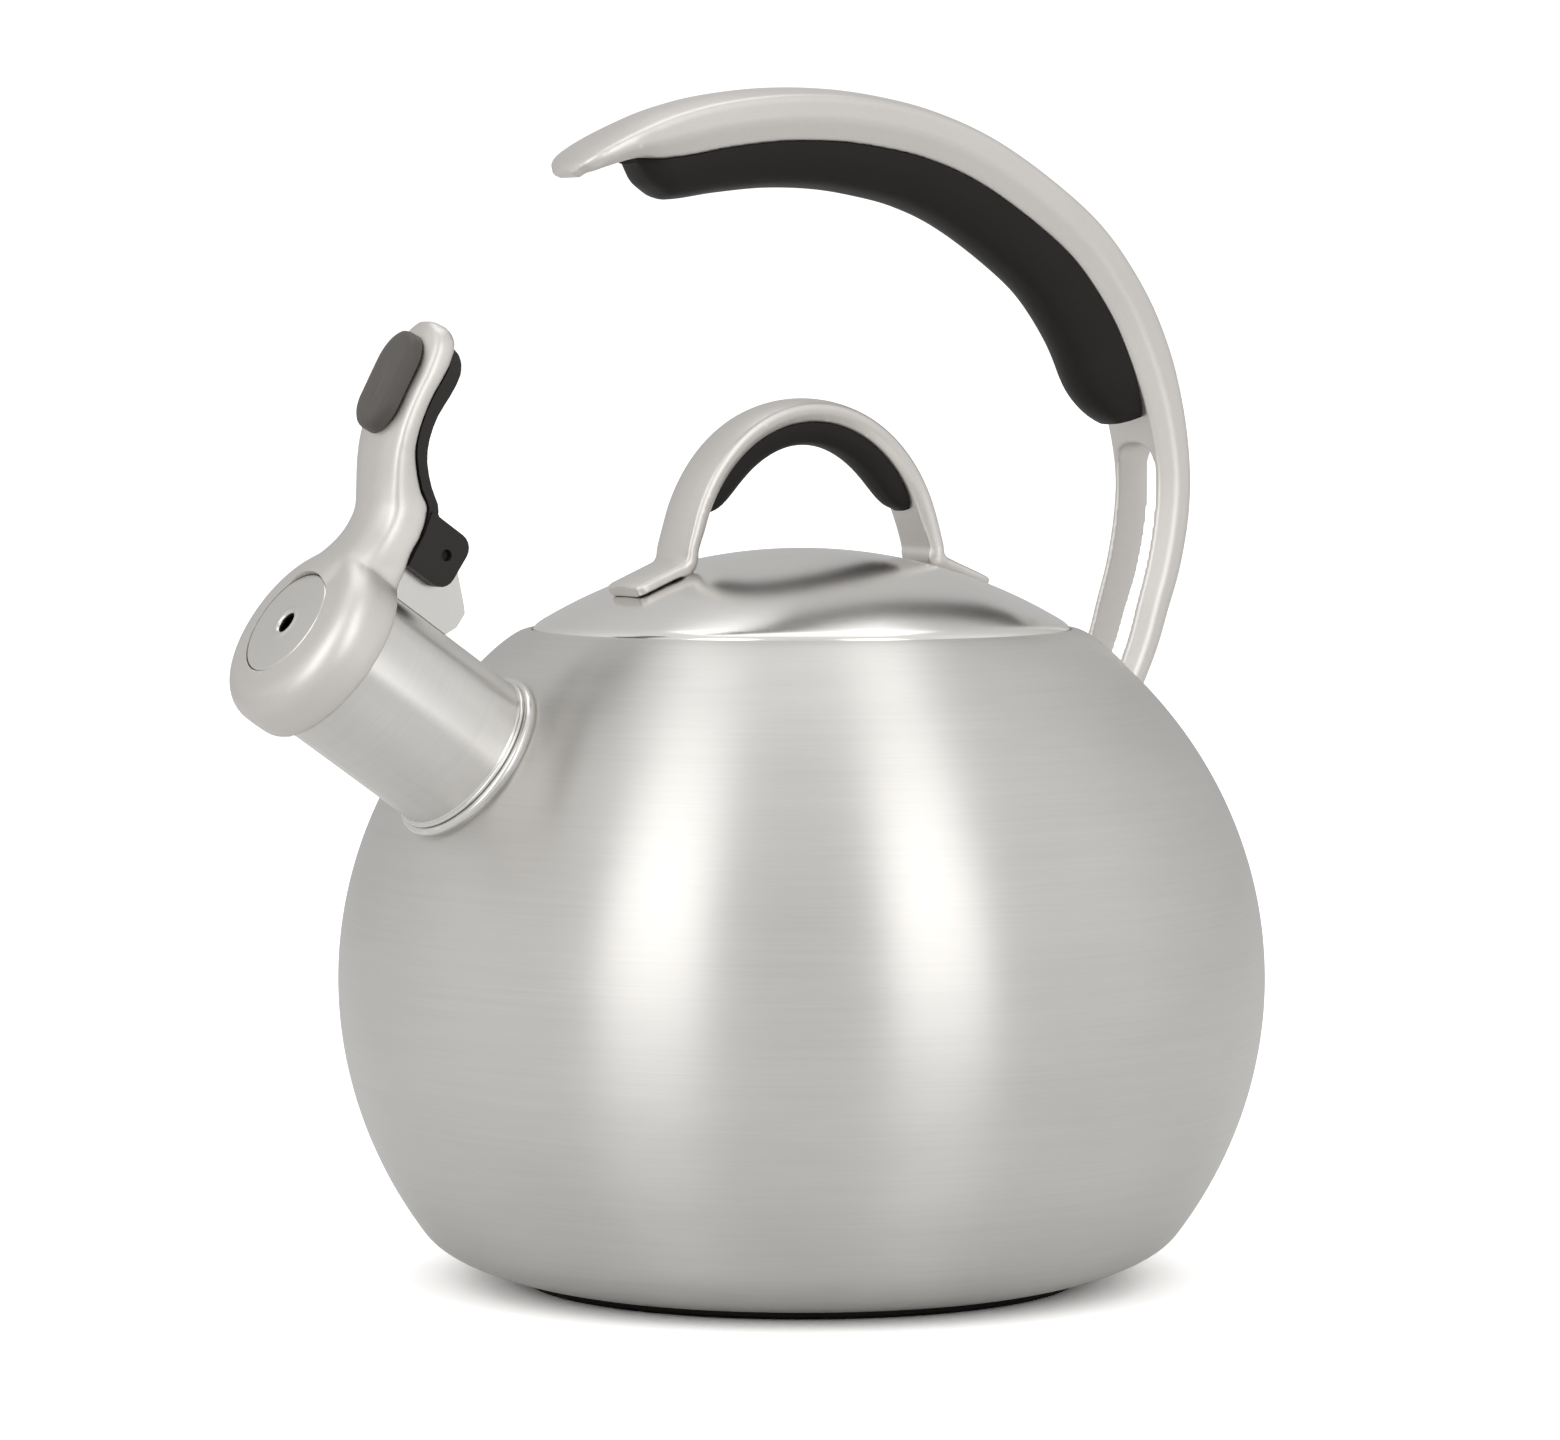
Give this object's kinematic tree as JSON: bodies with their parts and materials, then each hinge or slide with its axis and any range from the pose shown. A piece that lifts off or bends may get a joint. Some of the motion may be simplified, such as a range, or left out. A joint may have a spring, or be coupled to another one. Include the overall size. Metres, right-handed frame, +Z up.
{
  "type": "stovetop kettle",
  "caption": "Round steel stovetop kettle with a lift-off lid, a hook handle with a rubber grip, and a straight spout closed by a sprung whistle lever.",
  "frame": {"origin": "centre of the flat base, on the vessel's axis, where it stands on the hob", "axes": "+Z up along the vessel's axis; spout towards -X, handle root towards +X; symmetric about the XZ plane"},
  "size_m": [0.2471, 0.21, 0.2697],
  "materials": {
    "brushed_steel": "brushed satin",
    "polished_steel": "fine polished",
    "cast_steel": "satin, fine grain",
    "spring_steel": "drawn wire",
    "aluminium": "rolled",
    "black_rubber": "matt",
    "black_plastic": "matt",
    "grey_rubber": "matt",
    "silicone": "smooth"
  },
  "bodies": {
    "kettle": {"kettle_shell": "brushed_steel", "base_core": "aluminium", "base_cap": "polished_steel", "spout_tube": "brushed_steel", "spout_collar": "polished_steel", "hinge_bracket": "polished_steel", "hinge_pin": "polished_steel", "hinge_spring": "spring_steel", "handle": "cast_steel", "handle_grip": "black_rubber", "handle_bracket": "polished_steel", "handle_screws": "polished_steel"},
    "lid": {"lid_dome": "polished_steel", "lid_skirt": "brushed_steel", "lid_handle": "cast_steel", "lid_grip": "black_rubber", "lid_screws": "polished_steel", "lid_washers": "polished_steel"},
    "whistle_lever": {"whistle_cap": "cast_steel", "whistle_disc": "polished_steel", "whistle_back_plate": "brushed_steel", "whistle_chamber": "brushed_steel", "spout_seal": "silicone", "lever_backing": "black_plastic", "thumb_pad": "grey_rubber", "lever_screws": "polished_steel"}
  },
  "joints": [
    {"name": "whistle_hinge", "type": "hinge", "parent": "kettle", "child": "whistle_lever", "pos_m": [-0.09807, 0, 0.16634], "axis": [0, 1, 0], "range_deg": [0, 50], "stiffness_Nm_per_rad": 0.12, "springref_deg": -34.38},
    {"name": "lid_lift", "type": "slide", "parent": "kettle", "child": "lid", "axis": [0, 0, 1], "range_m": [0, 0.03]}
  ]
}
